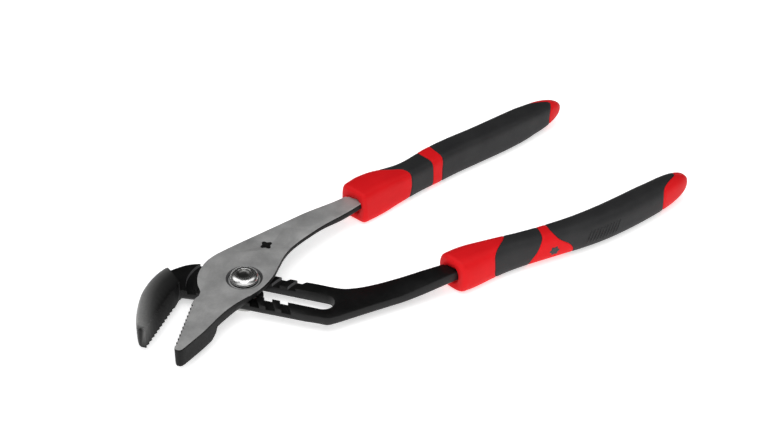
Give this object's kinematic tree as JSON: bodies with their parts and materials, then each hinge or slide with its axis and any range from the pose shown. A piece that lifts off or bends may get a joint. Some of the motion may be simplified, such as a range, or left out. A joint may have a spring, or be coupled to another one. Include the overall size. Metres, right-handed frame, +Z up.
{
  "type": "groove joint pliers",
  "caption": "Groove-joint adjustable pliers with a slotted lever, a tongued lever, a bolt pivot and two-colour grips.",
  "frame": {"origin": "on the pivot axis, where it meets the surface that the tool lies on", "axes": "+X runs from the jaws towards the handles, +Z is up and along the pivot axis, +Y completes the right-handed frame"},
  "size_m": [0.2594, 0.0931, 0.018],
  "materials": {
    "blackened_steel": "black satin, fine forged grain",
    "ground_steel": "satin ground",
    "bolt_chrome": "polished",
    "plated_steel": "satin zinc plate",
    "red_plastic": "satin moulded",
    "black_rubber": "soft touch, fine grain",
    "inlay_plastic": "satin moulded"
  },
  "bodies": {
    "lower_half": {"lower_lever": "blackened_steel", "lower_grip_core": "red_plastic", "lower_grip_front_sleeve": "black_rubber", "lower_grip_rear_sleeve": "black_rubber", "lower_grip_inlay": "inlay_plastic"},
    "pivot": {"pivot_bolt": "bolt_chrome", "pivot_washer": "plated_steel", "pivot_nut": "plated_steel"},
    "upper_half": {"upper_lever": "ground_steel", "upper_grip_core": "red_plastic", "upper_grip_front_sleeve": "black_rubber", "upper_grip_rear_sleeve": "black_rubber"}
  },
  "joints": [
    {"name": "jaw_setting", "type": "slide", "parent": "lower_half", "child": "pivot", "axis": [0.5976, -0.8018, 0], "range_m": [-0.0072, 0.036]},
    {"name": "jaw_hinge", "type": "hinge", "parent": "pivot", "child": "upper_half", "pos_m": [0, 0, 0.009], "axis": [0, 0, 1], "range_deg": [-8, 58]}
  ]
}
